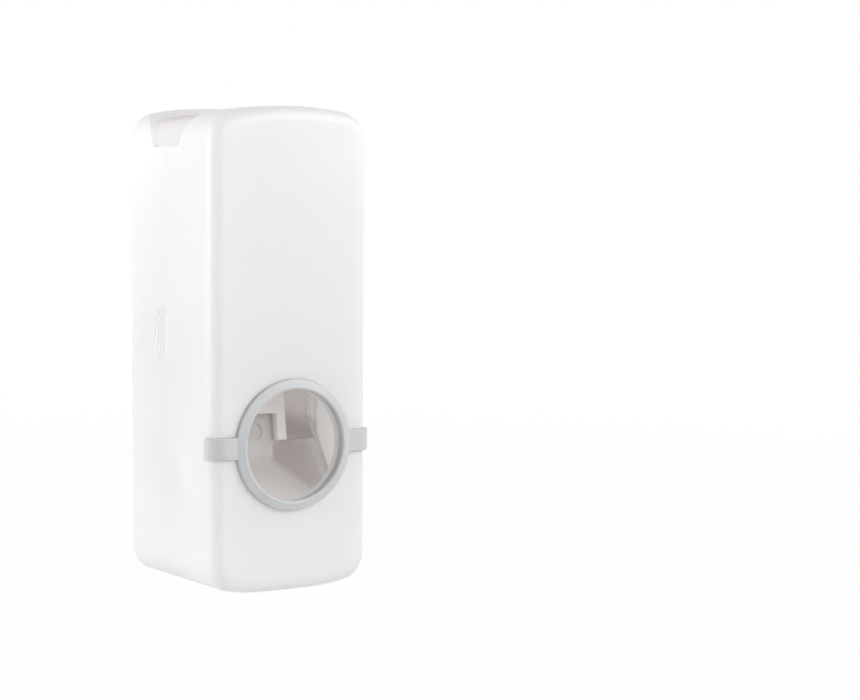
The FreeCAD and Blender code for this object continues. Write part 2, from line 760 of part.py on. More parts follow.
def push_lever():
    gap = brush_gap_width / 2
    pad_y = -pad_recess
    pad_back = pad_y + lever_wall
    guide_y = pad_y - guide_depth
    web_drop = hood_top_drop + hub_radius
    pieces = [
        lever_plate(pad_y, pad_back, pad_bottom_drop, hood_top_drop, -gap, gap),
        lever_plate(pad_y, pad_back, guide_bottom_drop, hood_top_drop, -lever_half, lever_half),
        lever_plate(guide_y, pad_y, hood_bottom_drop, hood_top_drop, -lever_half, lever_half),
        lever_plate(guide_y, pad_y, guide_bottom_drop, hood_bottom_drop, gap, lever_half),
        lever_plate(guide_y, pad_y, guide_bottom_drop, hood_bottom_drop, -lever_half, -gap),
        lever_plate(pad_y, 0, web_drop, hood_top_drop, lever_half - hub_width, lever_half),
        lever_plate(pad_y, 0, web_drop, hood_top_drop, -lever_half, hub_width - lever_half),
    ]
    presser_low = pivot_z - web_drop
    presser = block(
        -presser_width / 2, presser_width / 2, presser_face_y, presser_face_y + presser_wall,
        presser_low, presser_top)
    cup_base = rod(
        spring_radius + wire_radius + spring_cup_clearance + spring_cup_wall,
        vec(0, spring_cup_y - lever_wall / 2, port_height),
        vec(0, spring_start_y + spring_cup_depth, port_height))
    pieces += [presser, cup_base]
    for side in (-1, 1):
        inner = side * (lever_half - hub_width)
        outer = side * lever_half
        pieces.append(rod(hub_radius, vec(inner, pivot_y, pivot_z), vec(outer, pivot_y, pivot_z)))
        web = block(
            min(inner, outer), max(inner, outer), pivot_y - presser_wall / 2, pivot_y + presser_wall / 2,
            presser_low, pivot_z)
        pieces.append(web)
    lever = joined(pieces)
    pin_bore = pin_radius + pin_running_clearance
    dimple_z = -pad_dimple_drop
    dimple = Part.makeCylinder(pad_dimple_radius, pad_dimple_depth, vec(0, pad_y, dimple_z), vec(0, 1, 0))
    dimple = placed(dimple, vec(0, pivot_y, pivot_z), FreeCAD.Rotation(vec(1, 0, 0), -lever_lean))
    hollow = lever_plate(
        guide_y + hood_wall, pad_y, hood_bottom_drop - hood_wall, hood_top_drop - overrun,
        hood_wall - lever_half, lever_half - hood_wall)
    cup = rod(
        spring_radius + wire_radius + spring_cup_clearance, vec(0, spring_start_y, port_height),
        vec(0, spring_start_y + spring_cup_depth + overrun, port_height))
    reach = lever_half + overrun
    bore = rod(pin_bore, vec(-reach, pivot_y, pivot_z), vec(reach, pivot_y, pivot_z))
    return lever.cut(dimple).cut(hollow).cut(cup).cut(bore)


def press_pad():
    face = presser_face_y - press_pad_wall
    pad = rod(press_pad_radius, vec(0, face, press_pad_z), vec(0, presser_face_y, press_pad_z))
    return pad.makeFillet(press_pad_wall / 2, edges_at_y(pad, face))


def pin_half():
    return lug_outer + clip_gap + clip_wall + pin_end_spare


def lever_pin():
    return rod(pin_radius, vec(-pin_half(), pivot_y, pivot_z), vec(pin_half(), pivot_y, pivot_z))


def pin_clips():
    clips = []
    for side in (-1, 1):
        start = vec(side * (lug_outer + clip_gap), pivot_y, pivot_z)
        end = vec(side * (lug_outer + clip_gap + clip_wall), pivot_y, pivot_z)
        clips.append(rod(clip_radius, start, end).cut(rod(pin_radius + pilot_clearance, start, end)))
    return Part.makeCompound(clips)


def biarc(start, start_way, end, end_way):
    """Two arcs that leave start along start_way, meet smoothly and reach end along end_way."""
    span = end - start
    ways = start_way + end_way
    a = 2 * (1 - start_way.dot(end_way))
    b = 2 * span.dot(ways)
    c = -span.dot(span)
    reach = (-b + math.sqrt(b * b - 4 * a * c)) / (2 * a) if a > fine * fine else -c / b
    first = start + start_way * reach
    last = end - end_way * reach
    middle = (first + last) * 0.5
    edges = []
    for near, way, far in ((start, start_way, middle), (middle, (last - first).normalize(), end)):
        edges.append(arc_along(near, way, far))
    return edges


def arc_along(near, way, far):
    """The arc from near to far that leaves near along way, or a line where they are in line."""
    span = far - near
    off = span - way * span.dot(way)
    if off.Length < fine * span.Length:
        return Part.makeLine(near, far)
    off.normalize()
    radius = span.dot(span) / (2 * span.dot(off))
    hub = near + off * radius
    middle = (near + far) * 0.5 - hub
    middle.normalize()
    return Part.Arc(near, hub + middle * radius, far).toShape()


def spring_path():
    """Points and directions of the coil about the port's axis, with straight ends one wire long."""
    tail = 2 * wire_radius
    first = spring_start_y + spring_end_gap
    last = spring_end_y - spring_end_gap
    bend = spring_radius
    low = first + tail + bend
    high = last - tail - bend
    steps = 4 * spring_turns
    climb = (high - low) / (2 * math.pi * spring_turns)
    along = vec(0, 1, 0)
    stations = [(vec(spring_radius, y, port_height), along) for y in (first, first + tail)]
    for step in range(1, steps):
        angle = 2 * math.pi * spring_turns * step / steps
        across = spring_radius * math.cos(angle)
        rise = spring_radius * math.sin(angle)
        point = vec(across, low + climb * angle, port_height + rise)
        way = vec(-rise, climb, across).normalize()
        stations.append((point, way))
    stations += [(vec(spring_radius, y, port_height), along) for y in (last - tail, last)]
    return stations


def least_self_gap(path, turn_length):
    """The least space between stretches of wire that are half a turn or more apart along it."""
    points = path.discretize(Number=40 * spring_turns)
    skip = int(turn_length / 2 / (path.Length / len(points)))
    least = path.Length
    for index, point in enumerate(points):
        for other in points[index + skip:]:
            least = min(least, point.distanceToPoint(other))
    return least - 2 * wire_radius


def return_spring():
    stations = spring_path()
    edges = [Part.makeLine(stations[0][0], stations[1][0])]
    for (start, start_way), (end, end_way) in zip(stations[1:-2], stations[2:-1]):
        edges += biarc(start, start_way, end, end_way)
    edges.append(Part.makeLine(stations[-2][0], stations[-1][0]))
    path = Part.Wire(edges)
    start = stations[0][0]
    section = Part.Wire(Part.makeCircle(wire_radius, start, vec(0, 1, 0)))
    coil = path.makePipeShell([section], True, False)
    gap = least_self_gap(path, 2 * math.pi * spring_radius)
    straight = math.pi * wire_radius ** 2 * path.Length
    print("spring: least gap to itself", round(gap, 3), "mm")
    print("spring: volume over section times length", round(coil.Volume / straight, 4))
    return coil


def wall_plate():
    half = plate_width / 2
    low = plate_middle_height - plate_height / 2
    plate = block(-half, half, plate_front_y, plate_back_y, low, low + plate_height)
    corners = [e for e in plate.Edges if e.BoundBox.YLength > plate_wall / 2]
    plate = plate.makeFillet(plate_corner_radius, corners)
    hook_back = pocket_inner_y - plate_clearance
    pieces = [plate]
    for side in (-1, 1):
        x0 = side * hook_offset - hook_width / 2
        x1 = x0 + hook_width
        hook_face = hook_back - hook_wall
        root = plate_front_y + plate_wall / 2
        pieces.append(block(x0, x1, hook_face, root, hook_stem_low, hook_stem_top))
        pieces.append(block(x0, x1, hook_face, hook_back, hook_stem_low, hook_tip))
    return joined(pieces)


def adhesive_pad():
    half = plate_width / 2 - tape_margin
    tall = plate_height / 2 - tape_margin
    low = plate_middle_height - tall
    tape = block(-half, half, plate_back_y, back_y + tape_proud, low, plate_middle_height + tall)
    corners = [e for e in tape.Edges if e.BoundBox.YLength > fine]
    return tape.makeFillet(plate_corner_radius - tape_margin, corners)


def main():
    os.makedirs("parts", exist_ok=True)
    front, rear = case_halves()
    nodes = {
        "front_cover": front_cover(front),
        "rear_housing": rear_housing(rear),
        "trim_ring": trim_ring(),
        "brush_bay": brush_bay(),
        "bay_screws": bay_screws(),
        "pump_frame": pump_frame(),
        "frame_screws": frame_screws(),
        "pump_bulb": pump_bulb(),
        "bulb_collar": bulb_collar(),
        "collar_screws": collar_screws(),
        "tube_seal": tube_seal(),
        "valve_plate": valve_plate(),
        "inlet_flap": inlet_flap(),
        "outlet_nozzle": outlet_nozzle(),
        "nozzle_clamp": nozzle_clamp(),
        "push_lever": push_lever(),
        "press_pad": press_pad(),
        "lever_pin": lever_pin(),
        "pin_clips": pin_clips(),
        "return_spring": return_spring(),
        "wall_plate": wall_plate(),
        "adhesive_pad": adhesive_pad(),
    }
    for name, shape in nodes.items():
        shape.exportStep("parts/" + name + ".step")
        print(name, len(shape.Solids), shape.isValid(), round(shape.Volume, 1))


main()
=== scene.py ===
import math

import bmesh
import bpy
import numpy as np
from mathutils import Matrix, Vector


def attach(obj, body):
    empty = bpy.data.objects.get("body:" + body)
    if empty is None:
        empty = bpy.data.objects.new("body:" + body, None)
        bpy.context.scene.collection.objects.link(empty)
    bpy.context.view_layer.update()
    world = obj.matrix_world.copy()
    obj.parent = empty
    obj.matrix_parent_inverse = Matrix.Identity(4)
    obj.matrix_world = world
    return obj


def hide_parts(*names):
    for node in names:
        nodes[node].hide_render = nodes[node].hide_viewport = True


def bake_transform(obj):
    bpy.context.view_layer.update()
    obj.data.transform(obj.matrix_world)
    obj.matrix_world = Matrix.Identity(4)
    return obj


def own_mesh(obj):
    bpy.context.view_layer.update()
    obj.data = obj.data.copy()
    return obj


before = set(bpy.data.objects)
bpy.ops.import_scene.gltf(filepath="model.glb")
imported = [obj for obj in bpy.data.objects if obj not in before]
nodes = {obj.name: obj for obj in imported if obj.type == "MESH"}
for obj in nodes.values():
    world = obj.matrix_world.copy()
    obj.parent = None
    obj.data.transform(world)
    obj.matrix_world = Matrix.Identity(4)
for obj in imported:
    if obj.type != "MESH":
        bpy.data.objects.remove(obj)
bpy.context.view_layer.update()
mm = 0.001


# Shader sums are written on sockets, and each sum adds its Math node

class Tap:
    def __init__(self, tree, socket=None):
        self.tree = tree
        self.socket = socket

    # any node: its type, its settings, then the values or links of its sockets
    def node(self, kind, settings=None, values=None, out=0):
        made = self.tree.nodes.new(kind)
        for name, value in (settings or {}).items():
            if name == "stops":
                ramp = made.color_ramp.elements
                while len(ramp) < len(value):
                    ramp.new(1.0)
                for stop, (place, colour) in zip(ramp, value):
                    stop.position = place
                    stop.color = colour
            else:
                setattr(made, name, value)
        for name, value in (values or {}).items():
            if isinstance(value, Tap):
                self.tree.links.new(value.socket, made.inputs[name])
            else:
                made.inputs[name].default_value = value
        return Tap(self.tree, made.outputs[out]) if made.outputs else made

    def sum(self, operation, first, second):
        return self.node("ShaderNodeMath", {"operation": operation}, {0: first, 1: second})

    def __add__(self, other):
        return self.sum("ADD", self, other)

    def __rsub__(self, other):
        return self.sum("SUBTRACT", other, self)

    def __mul__(self, other):
        return self.sum("MULTIPLY", self, other)


# Parts that the materials share

def newMaterial(name):
    material = bpy.data.materials.new(name)
    material.use_nodes = True
    material.node_tree.nodes.clear()
    tap = Tap(material.node_tree)
    return material, tap, tap.node("ShaderNodeTexCoord", None, None, "Object")


def noise(tap, place, scale, detail, rough=0.5):
    return tap.node("ShaderNodeTexNoise", None, {
        "Vector": place, "Scale": scale, "Detail": detail, "Roughness": rough})


# colour: deep up to one value of the factor, pale from another on
def toneRamp(tap, factor, look):
    return tap.node("ShaderNodeValToRGB", {"stops": [
        (look["deepAt"], (*look["deep"], 1.0)), (look["paleAt"], (*look["pale"], 1.0))]}, {"Fac": factor})


# roughness: a factor from 0 to 1 moves it by half the spread to either side of its middle
def roughness(factor, look):
    return factor * look["roughSpread"] + (look["rough"] - look["roughSpread"] / 2)


def bumps(tap, height, distance):
    return tap.node("ShaderNodeBump", None, {"Height": height, "Distance": distance})


# Moulded plastic: cloudy tone, faint flow streaks and a fine spark-eroded grain
# "through" is the share of light that a thin milky wall passes on, and "glow" its colour on the way
# each painted shade entry of a look is painted shade: its place is mixed towards its tone and passes no
# light on; it is full below "low" and gone above "high" along its normal, and starts past "side" in |x|

mouldedGrain = {
    "deepAt": 0.32, "paleAt": 0.68, "cloudDetail": 4.0, "cloudRough": 0.55, "cloudShare": 0.75,
    "speckFiner": 14, "speckDetail": 2.0, "speckShare": 0.25, "grainDetail": 2.0, "grainRough": 0.6,
    "index": 1.5, "sideSoft": 0.2 * mm,
}
mouldedLooks = {
    "whiteCase": {
        "pale": (0.93, 0.952, 0.963), "deep": (0.915, 0.937, 0.948), "cloudScale": 26.0,
        "streak": (1.0, 1.0, 0.25), "rough": 0.34, "roughSpread": 0.08,
        "grainScale": 2600.0, "grainHeight": 0.004 * mm,
        "through": 0.425, "glow": (0.97, 0.943, 0.928),
        "paintedShades": [  # painted shade: above about 136 mm the case passes less light on and is tinted warmer, which darkens and warms the inside of the notch
            {"normal": (0.0, 0.0, -1.0), "low": -168.0 * mm, "high": -136.0 * mm, "side": 0.0,
             "tone": (0.97, 0.942, 0.932)},
        ],
    },
    "greyTrim": {
        "pale": (0.61, 0.62, 0.632), "deep": (0.58, 0.59, 0.602), "cloudScale": 60.0,
        "streak": (1.0, 1.0, 1.0), "rough": 0.42, "roughSpread": 0.10,
        "grainScale": 3200.0, "grainHeight": 0.006 * mm, "through": 0.0,
    },
    "warmInner": {
        "pale": (0.97, 0.957, 0.95), "deep": (0.96, 0.945, 0.935), "cloudScale": 55.0,
        "streak": (1.0, 1.0, 0.35), "rough": 0.46, "roughSpread": 0.10,
        "grainScale": 2400.0, "grainHeight": 0.006 * mm,
        "through": 0.60, "glow": (0.97, 0.957, 0.95),
    },
    "lightLever": {
        "pale": (0.98, 0.965, 0.957), "deep": (0.97, 0.955, 0.945), "cloudScale": 70.0,
        "streak": (1.0, 1.0, 0.35), "rough": 0.40, "roughSpread": 0.08,
        "grainScale": 2800.0, "grainHeight": 0.005 * mm,
        "through": 0.20, "glow": (0.98, 0.965, 0.957),
        "paintedShades": [  # painted shade: the sunken plate between the guides, and all behind it, is painted darker and passes no light on
            {"normal": (0.0, -0.9912, 0.1323), "low": 12.0 * mm, "high": 14.0 * mm, "side": 0.0,
             "tone": (0.61, 0.59, 0.58)},
        ],
    },
}
mouldedLooks["bayInner"] = {**mouldedLooks["warmInner"], "paintedShades": [
    # painted shade: the corner above the liner's ledge, then the cheek's slanting front edge, are painted
    # darker
    {"normal": (0.0, 0.1755, 0.9845), "low": 44.0 * mm, "high": 47.0 * mm, "side": 24.8 * mm,
     "tone": (0.80, 0.77, 0.75)},
    {"normal": (0.0, 0.0, 1.0), "low": 51.6 * mm, "high": 52.0 * mm, "side": 25.4 * mm,
     "tone": (0.74, 0.71, 0.69)},
]}


# share of painted shade at each point: 1 below the low height along the normal, 0 above the high, and 0
# inside side in |x|
def paintedShadeShare(tap, place, shade):
    height = tap.node("ShaderNodeVectorMath", {"operation": "DOT_PRODUCT"}, {
        0: place, 1: shade["normal"]}, "Value")
    below = tap.node("ShaderNodeMapRange", {"interpolation_type": "SMOOTHSTEP"}, {
        "Value": height, "From Min": shade["low"], "From Max": shade["high"],
        "To Min": 1.0, "To Max": 0.0})
    across = tap.node("ShaderNodeSeparateXYZ", None, {0: place})
    apart = tap.node("ShaderNodeMath", {"operation": "ABSOLUTE"}, {0: across})
    past = tap.node("ShaderNodeMapRange", None, {
        "Value": apart, "From Min": shade["side"] - mouldedGrain["sideSoft"], "From Max": shade["side"]})
    return below * past


def mouldedPlastic(name):
    look = {**mouldedGrain, **mouldedLooks[name]}
    material, tap, place = newMaterial(name)
    drawn = tap.node("ShaderNodeMapping", None, {"Vector": place, "Scale": look["streak"]})
    cloud = noise(tap, drawn, look["cloudScale"], look["cloudDetail"], look["cloudRough"])
    speck = noise(tap, place, look["cloudScale"] * look["speckFiner"], look["speckDetail"])
    grain = noise(tap, place, look["grainScale"], look["grainDetail"], look["grainRough"])
    colour = toneRamp(tap, cloud * look["cloudShare"] + speck * look["speckShare"], look)
    through = look["through"]
    # painted shade: the colour is mixed to each entry's tone, and no light passes through the wall there
    for shade in look.get("paintedShades", []):
        shaded = paintedShadeShare(tap, place, shade)
        colour = tap.node("ShaderNodeMix", {"data_type": "RGBA"}, {
            0: shaded, 6: colour, 7: (*shade["tone"], 1.0)}, 2)
        through = (1.0 - shaded) * through
    shader = tap.node("ShaderNodeBsdfPrincipled", None, {
        "Base Color": colour, "Roughness": roughness(cloud * 0.5 + grain * 0.5, look),
        "Normal": bumps(tap, grain, look["grainHeight"]), "IOR": look["index"]})
    if look["through"]:
        glow = tap.node("ShaderNodeBsdfTranslucent", None, {"Color": (*look["glow"], 1.0)})
        shader = tap.node("ShaderNodeMixShader", None, {0: through, 1: shader, 2: glow})
    tap.node("ShaderNodeOutputMaterial", None, {"Surface": shader})
    return material


# Milky silicone: light goes a little way in, and the skin is faintly hazy

siliconeLook = {
    "pale": (0.84, 0.84, 0.82), "paleAt": 0.7, "deep": (0.78, 0.78, 0.755), "deepAt": 0.3,
    "cloudScale": 120.0, "cloudDetail": 3.0, "rough": 0.42, "roughSpread": 0.14,
    "hazeScale": 900.0, "hazeDetail": 4.0, "hazeHeight": 0.01 * mm,
    "inside": 0.35, "depth": 1.6 * mm, "reach": (1.0, 0.9, 0.8), "index": 1.42,
}


def milkySilicone():
    look = siliconeLook
    material, tap, place = newMaterial("milkySilicone")
    cloud = noise(tap, place, look["cloudScale"], look["cloudDetail"])
    haze = noise(tap, place, look["hazeScale"], look["hazeDetail"])
    shader = tap.node("ShaderNodeBsdfPrincipled", None, {
        "Base Color": toneRamp(tap, cloud, look), "Roughness": roughness(haze, look),
        "Normal": bumps(tap, haze, look["hazeHeight"]), "IOR": look["index"],
        "Subsurface Weight": look["inside"], "Subsurface Radius": look["reach"],
        "Subsurface Scale": look["depth"]})
    tap.node("ShaderNodeOutputMaterial", None, {"Surface": shader})
    return material


# Steel: fine lines drawn along one axis, with a few duller patches

steelLook = {
    "pale": (0.70, 0.70, 0.72), "paleAt": 0.7, "deep": (0.54, 0.54, 0.565), "deepAt": 0.3,
    "lineScale": 900.0, "lineDetail": 3.0, "lineShare": 0.6, "lineHeight": 0.004 * mm,
    "patchScale": 160.0, "patchDetail": 2.0, "patchShare": 0.4, "rough": 0.24, "roughSpread": 0.22,
}


def drawnSteel(name, along):
    look = steelLook
    material, tap, place = newMaterial(name)
    drawn = tap.node("ShaderNodeMapping", None, {"Vector": place, "Scale": along})
    line = noise(tap, drawn, look["lineScale"], look["lineDetail"])
    patch = noise(tap, place, look["patchScale"], look["patchDetail"])
    shader = tap.node("ShaderNodeBsdfPrincipled", None, {
        "Base Color": toneRamp(tap, line * look["lineShare"] + patch * look["patchShare"], look),
        "Roughness": roughness(line * 0.5 + patch * 0.5, look),
        "Normal": bumps(tap, line, look["lineHeight"]), "Metallic": 1.0})
    tap.node("ShaderNodeOutputMaterial", None, {"Surface": shader})
    return material


# Foam tape: small open cells, with painted shade in their pits

foamLook = {
    "pale": (0.86, 0.86, 0.84), "paleAt": 0.45, "deep": (0.62, 0.62, 0.60), "deepAt": 0.05,
    "cellScale": 1500.0, "cellHeight": 0.12 * mm, "rough": 0.85,
}


def foamTape():
    look = foamLook
    material, tap, place = newMaterial("foamTape")
    cell = tap.node("ShaderNodeTexVoronoi", {"feature": "F1"}, {"Vector": place, "Scale": look["cellScale"]})
    # painted shade: the colour is darker where the bump sinks into pits
    shader = tap.node("ShaderNodeBsdfPrincipled", None, {
        "Base Color": toneRamp(tap, cell, look), "Roughness": look["rough"],
        "Normal": bumps(tap, cell, look["cellHeight"])})
    tap.node("ShaderNodeOutputMaterial", None, {"Surface": shader})
    return material


whiteCase = mouldedPlastic("whiteCase")
greyTrim = mouldedPlastic("greyTrim")
warmInner = mouldedPlastic("warmInner")
bayInner = mouldedPlastic("bayInner")
lightLever = mouldedPlastic("lightLever")
silicone = milkySilicone()
turnedSteel = drawnSteel("turnedSteel", (1.0, 1.0, 0.15))
wireSteel = drawnSteel("wireSteel", (1.0, 0.15, 1.0))
foam = foamTape()
print("materials:", len(bpy.data.materials))


# Surfaces: a grid of points, rows by columns, becomes quads, and a closed way wraps round

def gridFaces(rows, columns, wrapRows, wrapColumns):
    row, column = np.meshgrid(
        np.arange(rows if wrapRows else rows - 1),
        np.arange(columns if wrapColumns else columns - 1), indexing="ij")
    nextRow, nextColumn = (row + 1) % rows, (column + 1) % columns
    corners = [row * columns + column, row * columns + nextColumn,
               nextRow * columns + nextColumn, nextRow * columns + column]
    return np.stack(corners, -1).reshape(-1, 4)


def surface(points, wrapRows=False, wrapColumns=True):
    rows, columns = points.shape[:2]
    return points.reshape(-1, 3), gridFaces(rows, columns, wrapRows, wrapColumns)


def joinSurfaces(*parts):
    starts = np.cumsum([0] + [len(points) for points, _ in parts[:-1]])
    points = np.concatenate([points for points, _ in parts])
    faces = np.concatenate([faces + start for (_, faces), start in zip(parts, starts)])
    return points, faces


# corner blend: each inner corner of a line of points becomes a quadratic curve that starts reach before it,
# or the most share of a short side before it
def softCorners(line, reach, steps=6, most=0.48):
    line = np.asarray(line, float)
    before, corner, after = line[:-2], line[1:-1], line[2:]

    def pulled(other):
        way = other - corner
        length = np.linalg.norm(way, axis=1, keepdims=True)
        return corner + way * np.minimum(reach / length, most)

    s = np.linspace(0, 1, steps)[None, :, None]
    first, last = pulled(before)[:, None], pulled(after)[:, None]
    blends = (1 - s) ** 2 * first + 2 * s * (1 - s) * corner[:, None] + s ** 2 * last
    return np.concatenate([line[:1], blends.reshape(-1, line.shape[1]), line[-1:]])


# turned form: profile (radius, height) carried round an axis from a foot point
def turned(profile, foot, axis, columns=96):
    axis = np.asarray(axis, float) / np.linalg.norm(axis)
    side = np.cross(axis, (1.0, 0.0, 0.0) if abs(axis[0]) < 0.9 else (0.0, 1.0, 0.0))
    side /= np.linalg.norm(side)
    other = np.cross(axis, side)
    angle = np.linspace(0, 2 * math.pi, columns, endpoint=False)
    ring = np.cos(angle)[:, None] * side + np.sin(angle)[:, None] * other
    profile = np.asarray(profile, float)
    return np.asarray(foot, float) + profile[:, :1, None] * ring[None] + profile[:, 1:, None] * axis


def addPiece(name, shape, material, sharp=35.0, weld=0.0005 * mm):
    points, faces = shape
    mesh = bpy.data.meshes.new(name)
    mesh.from_pydata(points.tolist(), [], faces.tolist())
    shell = bmesh.new()
    shell.from_mesh(mesh)
    bmesh.ops.remove_doubles(shell, verts=shell.verts, dist=weld)
    bmesh.ops.recalc_face_normals(shell, faces=shell.faces)
    shell.to_mesh(mesh)
    shell.free()
    mesh.shade_smooth()
    mesh.set_sharp_from_angle(angle=math.radians(sharp))
    mesh.materials.append(material)
    piece = bpy.data.objects.new(name, mesh)
    bpy.context.scene.collection.objects.link(piece)
    return piece


# Pump bulb: a turned silicone cup with a slanting spout, and its clamped flange

pumpLook = {
    "axisY": -5.0, "top": 88.0, "bottom": 72.0, "radius": 9.0, "neck": 7.5, "wall": 1.4,
    "flange": 11.6, "flangeLow": 86.4, "flangeClear": 0.01, "flangeBend": 0.4,
    "outside": {"flat": 0.55, "rise": 0.5, "shoulder": 2.2, "throat": 0.6, "bend": 2.2},
    "inside": {"flat": 0.45, "rise": 0.55, "shoulder": 2.6, "throat": 0.8, "bend": 2.0},
    "bendSteps": 9, "spoutAngle": 37.0, "spoutStart": 76.5, "spoutLength": 13.0, "spoutRadius": 3.6,
    "spoutBore": 2.4, "spoutRoot": 0.72, "rootFlare": 1.1, "rootRise": 1.4, "spoutBend": 0.35,
    "spoutColumns": 64,
}
pumpAxis = (0, 0, 1)
pumpFoot = np.array([0.0, pumpLook["axisY"], 0.0]) * mm
spoutSlant = math.radians(pumpLook["spoutAngle"])
spoutWay = np.array([0.0, -math.sin(spoutSlant), -math.cos(spoutSlant)])
spoutFoot = np.array([0.0, pumpLook["axisY"], pumpLook["spoutStart"]]) * mm


# line of the cup from the middle of its foot up to the neck, drawn in by inset
def cupLine(form, inset):
    look = pumpLook
    foot, radius, rim = look["bottom"], look["radius"], look["flangeLow"]
    return softCorners([
        (0.0, foot + inset), (radius * form["flat"], foot + inset),
        (radius - inset, foot + radius * form["rise"]), (radius - inset, rim - form["shoulder"]),
        (look["neck"] - inset, rim - form["throat"]), (look["neck"] - inset, rim),
    ], form["bend"], look["bendSteps"])


# cup: its outer line up, then its inner line down; spout: a closed line that flares at its root
def bulbBody():
    look = pumpLook
    inner = cupLine(look["inside"], look["wall"])
    line = np.concatenate([cupLine(look["outside"], 0.0), inner[::-1]])
    cup = surface(turned(line * mm, pumpFoot, pumpAxis))
    root = look["radius"] * look["spoutRoot"]
    spout = softCorners([
        (look["spoutRadius"] + look["rootFlare"], root), (look["spoutRadius"], root + look["rootRise"]),
        (look["spoutRadius"], look["spoutLength"]), (look["spoutBore"], look["spoutLength"]),
        (look["spoutBore"], root)], look["spoutBend"])
    pipe = surface(turned(spout * mm, spoutFoot, spoutWay, look["spoutColumns"]), wrapRows=True)
    return addPiece("bulbBody", joinSurfaces(cup, pipe), silicone)


# flange: a closed rectangle with soft outer corners
def bulbFlange():
    look = pumpLook
    inside = look["neck"] - look["wall"]
    low, top = look["flangeLow"] + look["flangeClear"], look["top"] - look["flangeClear"]
    edge = softCorners([
        (inside, low), (look["flange"], low), (look["flange"], top), (inside, top)], look["flangeBend"])
    return addPiece("bulbFlange", surface(turned(edge * mm, pumpFoot, pumpAxis), wrapRows=True), silicone)


bulb = bulbBody()
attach(bulb, "housing")
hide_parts("pump_bulb")
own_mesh(bulb)
flange = bulbFlange()
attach(flange, "housing")
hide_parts("pump_bulb")
print("pump bulb made")


# Outlet nozzle: a closed line round the spout's end, narrowing to the tip, turned about the spout's axis

nozzleLook = {
    "root": 4.9, "tip": 2.6, "bore": 1.6, "socket": 3.65, "start": 8.8, "seat": 13.0, "end": 15.8,
    "coneDrop": 0.6, "tipFlare": 0.5, "tipRise": 0.9, "tipInset": 0.1, "bend": 0.45, "bendSteps": 7,
}


def outletNozzle():
    look = nozzleLook
    line = softCorners([
        (look["socket"], look["start"]), (look["root"], look["start"]),
        (look["root"], look["seat"] - look["coneDrop"]),
        (look["tip"] + look["tipFlare"], look["end"] - look["tipRise"]),
        (look["tip"] - look["tipInset"], look["end"]), (look["bore"], look["end"]),
        (look["bore"], look["seat"]), (look["socket"], look["seat"]),
        (look["socket"], look["start"])], look["bend"], look["bendSteps"])
    return addPiece("outletNozzle", surface(turned(line * mm, spoutFoot, spoutWay)), silicone)


# Tube seal: down the bore past its low rings, then up the outside, turned about the pump's axis

sealLook = {
    "foot": 89.2, "throat": 5.0, "stem": 10.6, "shelf": 90.5, "flange": 13.4, "flangeTop": 92.3,
    "body": 9.6, "top": 100.8, "mouth": 8.6, "bore": 6.5, "boreTop": 98.6, "seat": 90.6,
    "rings": (92.6, 94.6, 96.6), "ringRise": 0.12, "ringHalf": 0.35, "bend": 0.4, "columns": 128,
}


def tubeSeal():
    look = sealLook
    bore, half = look["bore"], look["ringHalf"]
    inside = [(look["mouth"], look["top"]), (bore, look["boreTop"])]
    for ring in reversed(look["rings"]):
        inside += [(bore, ring + half), (bore - look["ringRise"], ring), (bore, ring - half)]
    inside += [(bore, look["seat"]), (look["throat"], look["seat"]), (look["throat"], look["foot"])]
    line = softCorners(inside + [
        (look["stem"], look["foot"]), (look["stem"], look["shelf"]), (look["flange"], look["shelf"]),
        (look["flange"], look["flangeTop"]), (look["body"], look["flangeTop"]),
        (look["body"], look["top"]), (look["mouth"], look["top"])], look["bend"])
    return addPiece("tubeSeal", surface(turned(line * mm, pumpFoot, pumpAxis, look["columns"])), silicone)


# Inlet flap: a thin umbrella, its stem and the bead that holds it, turned about the pump's axis

flapLook = {
    "low": 87.2, "top": 88.0, "radius": 6.0, "stem": 1.1, "plateTop": 89.2, "bead": 1.7, "beadTop": 90.1,
    "hollow": 0.25, "belly": 0.1, "bellyAt": 0.6, "lip": 0.35, "clear": 0.02, "crown": 0.6, "bend": 0.2,
}


def inletFlap():
    look = flapLook
    low, under = look["low"], look["top"] - look["clear"]
    line = softCorners([
        (0.0, low + look["hollow"]), (look["radius"] * look["bellyAt"], low + look["belly"]),
        (look["radius"], low + look["lip"]), (look["radius"], under), (look["stem"], under),
        (look["stem"], look["plateTop"]), (look["bead"], look["plateTop"] + look["clear"]),
        (look["stem"] * look["crown"], look["beadTop"]), (0.0, look["beadTop"])], look["bend"])
    return addPiece("inletFlap", surface(turned(line * mm, pumpFoot, pumpAxis)), silicone)


# Press pad: its face is a low dome less rings of cosine grooves, turned about an axis to the front

padLook = {
    "back": 5.8, "face": 4.3, "height": 78.7, "radius": 5.0, "dome": 0.25, "groove": 0.18, "rings": 2,
    "sink": 0.35, "faceRows": 48, "edge": 0.5, "rimInset": 0.2, "rimDrop": 0.5, "sideDrop": 0.9, "bend": 0.3,
}


def pressPad():
    look = padLook
    radius, thick = look["radius"], look["back"] - look["face"]
    r = np.linspace(0, radius - look["edge"], look["faceRows"])
    share = r / radius
    dome = look["dome"] * (1 - share ** 2)
    groove = look["groove"] * 0.5 * (1 - np.cos(2 * math.pi * look["rings"] * share))
    face = np.stack([r, thick - look["sink"] + dome - groove], 1)
    rim = softCorners([
        face[-1], (radius - look["rimInset"], thick - look["rimDrop"]),
        (radius, thick - look["sideDrop"]), (radius, 0.0), (0.0, 0.0)], look["bend"])
    line = np.concatenate([face, rim[1:]])
    foot = np.array([0.0, look["back"], look["height"]]) * mm
    return addPiece("pressPad", surface(turned(line * mm, foot, (0, -1, 0))), silicone)


